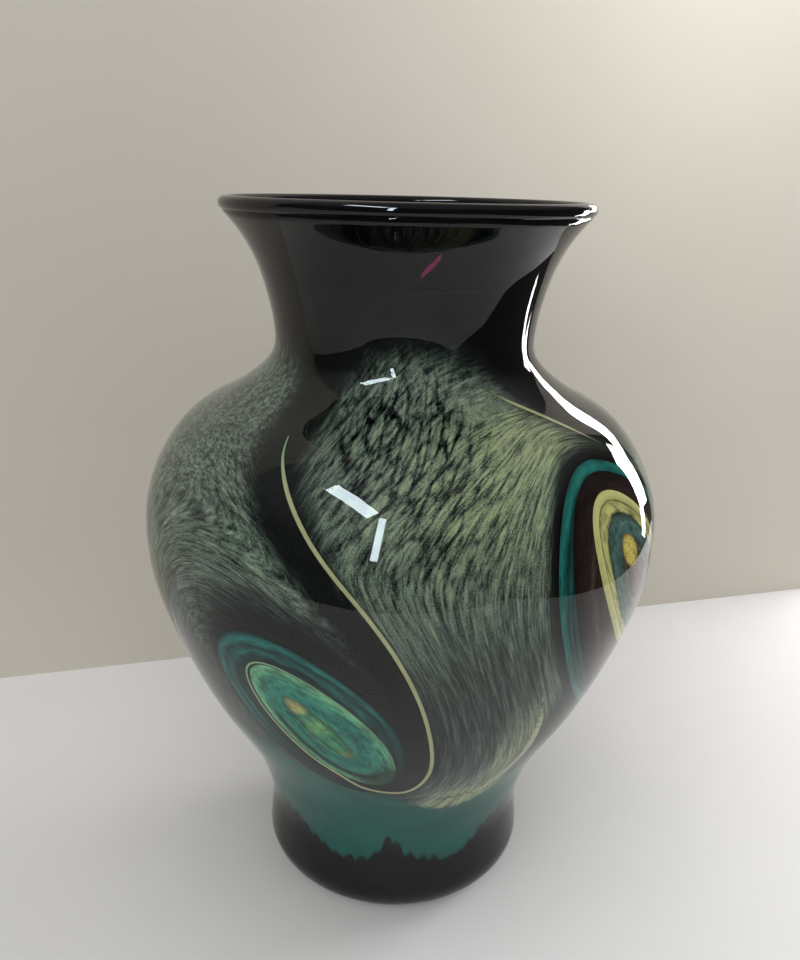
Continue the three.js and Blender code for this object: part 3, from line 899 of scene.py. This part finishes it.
def threads():
    straw = thread_material("straw_glass", (0.50, 0.52, 0.28), (0.30, 0.33, 0.17))
    frayed = thread_material("frayed_glass", (0.52, 0.53, 0.34), (0.32, 0.34, 0.21),
                             (0.04, 0.048, 0.038), ragged=3.0)
    spiral = thread_material("spiral_glass", (0.46, 0.47, 0.27), (0.30, 0.32, 0.18), (0.13, 0.36, 0.22))
    yellow = thread_material("yellow_glass", (0.62, 0.60, 0.26), (0.42, 0.42, 0.18))
    run_in = [(-31, 147), (-18, 130), (-6, 114), (1.5, 99), (7, 80), (9.2, 62), (4, 52), (-8, 52.5)]
    thread("spiral_thread", run_in + oval_arc(LEFT_RING, 122, -145, 12), 1.05, spiral,
           "straw_glass", "left_thread", 420, 0.06, 0.5)
    thread("ring_thread", oval_arc(RIGHT_RING, 165, -165, 20), 2.2, yellow,
           "yellow_glass", "right_ring", 260)
    thread("shoulder_line", [(30, 157), (38, 154), (50, 149), (60, 142)], 0.8, straw,
           "straw_glass", "shoulder_thread", 80, 0.4, 0.3)
    thread("feather_line", [(32, 88), (37, 72), (38, 58), (31, 47), (14, 46)], 2.6, frayed,
           "straw_glass", "feather_thread", 120, 0.4, 0.4)


# ---- stage, lights and camera ------------------------------------------------

def in_heights(*values):
    return Vector(values) * HEIGHT_MM * MM


def direction(azimuth, elevation):
    a, e = math.radians(azimuth), math.radians(elevation)
    return Vector((math.sin(a) * math.cos(e), -math.cos(a) * math.cos(e), math.sin(e)))


def plain_material(name, colour, one_sided=False):
    """A plain dull surface, faintly clouded; a one-sided one is clear from behind."""
    material, tree, shader = new_material(name)
    where = node(tree, "ShaderNodeNewGeometry")
    cloud = noise(tree, where.outputs["Position"], 3.0, 4.0, 0.6)
    tint = tuple(0.94 * c for c in colour)
    tree.links.new(blend(tree, span(tree, cloud, 0.3, 0.7), tint, colour), shader.inputs["Base Color"])
    shader.inputs["Roughness"].default_value = 0.7
    if one_sided:
        clear = node(tree, "ShaderNodeBsdfTransparent").outputs[0]
        surface = mixed(tree, where.outputs["Backfacing"], shader.outputs[0], clear)
        tree.links.new(surface, tree.nodes["Material Output"].inputs["Surface"])
    return material


def stage():
    """A pale table top and a plain grey wall close behind it, seen from the front only."""
    corners = [(ROOM_LEFT, TABLE_FRONT, 0), (TABLE_RIGHT, TABLE_FRONT, 0),
               (TABLE_RIGHT, TABLE_BACK, 0), (ROOM_LEFT, TABLE_BACK, 0)]
    floor = new_object("table_top", [in_heights(*c) for c in corners], [(0, 1, 2, 3)])
    floor.data.materials.append(plain_material("table_white", (0.86, 0.855, 0.855)))
    left, right = wall_point(ROOM_LEFT), wall_point(WALL_END)
    corners = [(*left, 0), (*right, 0), (*right, WALL_HEIGHT), (*left, WALL_HEIGHT)]
    wall = new_object("wall", [in_heights(*c) for c in corners], [(0, 1, 2, 3)])
    wall.data.materials.append(plain_material("wall_grey", (0.66, 0.62, 0.55), one_sided=True))


def wall_point(aside):
    """Where the wall, which runs away to the right, stands at a place aside."""
    return aside, WALL_BEHIND + WALL_SLOPE * aside


def panel_light(name, place, target, size, radiance, colour=(1, 1, 1), mirrored=True, lighting=True,
                roll=0.0):
    """A rectangular light, in vase heights; it may show in the gloss, light the scene, or both."""
    data = bpy.data.lights.new(name, "AREA")
    data.shape = "RECTANGLE"
    data.size, data.size_y = (side * HEIGHT_MM * MM for side in size)
    data.energy = radiance * math.pi * data.size * data.size_y
    data.color = colour
    light = bpy.data.objects.new(name, data)
    light.location = in_heights(*place)
    facing = (light.location - in_heights(*target)).to_track_quat("Z", "Y").to_matrix()
    light.rotation_euler = (facing @ Matrix.Rotation(math.radians(roll), 3, "Z")).to_euler()
    light.visible_camera = False
    light.visible_glossy = mirrored
    light.visible_diffuse = lighting
    bpy.context.scene.collection.objects.link(light)
    return data


def window_pane(name, start, end, width):
    """A strip of window between two places on the wall's line, that only shows in the gloss."""
    middle = Vector(((start[0] + end[0]) / 2, 0, (start[1] + end[1]) / 2))
    middle.y = wall_point(middle.x)[1] - WINDOW_STANDS_OFF
    run, rise = math.hypot(1, WALL_SLOPE) * (end[0] - start[0]), end[1] - start[1]
    panel_light(name, middle, middle + Vector((WALL_SLOPE, -1, 0)), (math.hypot(run, rise), width),
                WINDOW_RADIANCE, lighting=False, roll=math.degrees(math.atan2(rise, run)))


def pane(name, start, end, width):
    """A narrow far light between two azimuths and elevations, that only shows in the gloss."""
    middle = Vector((0, 0, 0.67))
    ends = [middle + PANE_DISTANCE * direction(*aim) for aim in (start, end)]
    centre = (ends[0] + ends[1]) / 2
    facing = (centre - middle).to_track_quat("Z", "Y").to_matrix()
    run = facing.transposed() @ (ends[1] - ends[0])
    panel_light(name, centre, middle, (run.length, width), PANE_RADIANCE, PANE_COLOUR, lighting=False,
                roll=math.degrees(math.atan2(run.y, run.x)))


def lights():
    middle = (0, 0, 0.6)
    window_pane("window", (1.35, 0.8), (2.1, 0.8), 0.84)
    window_pane("window_top", (0.6, 0.86), (1.5, 1.2), 0.2)
    window_pane("window_foot", (1.8, 0.22), (2.2, 0.22), 0.4)
    panel_light("window_light", (2.6, 1.7, 1.5), middle, (2, 2), 4.5, mirrored=False)
    panel_light("fill_above", (-0.6, -1.5, 4.2), middle, (4, 4), 1.15, (1, 0.99, 0.97), mirrored=False)
    panel_light("fill_front", (-1.7, -4.2, 1.6), middle, (3, 3), 1.3, (0.98, 1, 1), mirrored=False)
    glow = panel_light("wall_glow", (0.95, -0.3, 2.1), (0.75, 0.9, 1.6), (0.6, 0.6), 3.9, mirrored=False)
    glow.spread = math.radians(100)
    pane("pane_upper", (-44, 54), (-13, 40), 0.32)
    pane("pane_side", (-8, 39), (-9.6, 13), 0.15)
    bpy.context.scene.world = room_light()


def room_light():
    """A dim room with a lighter ceiling; straight behind the vase it has the wall's tone."""
    world = bpy.data.worlds.new("room")
    world.use_nodes = True
    tree = world.node_tree
    where = node(tree, "ShaderNodeTexCoord").outputs["Generated"]
    up = node(tree, "ShaderNodeSeparateXYZ", Vector=where).outputs["Z"]
    tone = blend(tree, span(tree, up, 0.3, 0.75), ROOM_LOW, ROOM_CEILING)
    room = node(tree, "ShaderNodeBackground", Color=tone).outputs[0]
    wall = node(tree, "ShaderNodeBackground", Color=ROOM_WALL).outputs[0]
    soft = node(tree, "ShaderNodeBackground", Color=ROOM_SOFT).outputs[0]
    light_path = node(tree, "ShaderNodeLightPath")
    surface = mixed(tree, light_path.outputs["Is Diffuse Ray"], room, soft)
    surface = mixed(tree, light_path.outputs["Is Camera Ray"], surface, wall)
    tree.links.new(surface, tree.nodes["World Output"].inputs["Surface"])
    return world


def camera():
    data = bpy.data.cameras.new("camera")
    data.lens = LENS
    data.sensor_width = 36
    data.clip_start = 0.01
    view = bpy.data.objects.new("camera", data)
    view.location = in_heights(CAMERA_ASIDE, -CAMERA_DISTANCE, CAMERA_HEIGHT)
    tilt = Euler((math.radians(90 - CAMERA_PITCH), 0, 0)).to_matrix()
    view.rotation_euler = (tilt @ Matrix.Rotation(math.radians(CAMERA_ROLL), 3, "Z")).to_euler()
    bpy.context.scene.collection.objects.link(view)
    bpy.context.scene.camera = view


def main():
    camera()
    dark_vessel()
    colour_coats()
    left_eye()
    right_eye()
    threads()
    clear_casing()
    lip_wrap()
    stage()
    lights()
    bpy.context.scene.view_settings.view_transform = "Standard"
    bpy.context.scene.view_settings.gamma = 0.92
    bpy.context.scene.view_settings.exposure = 0.12


main()
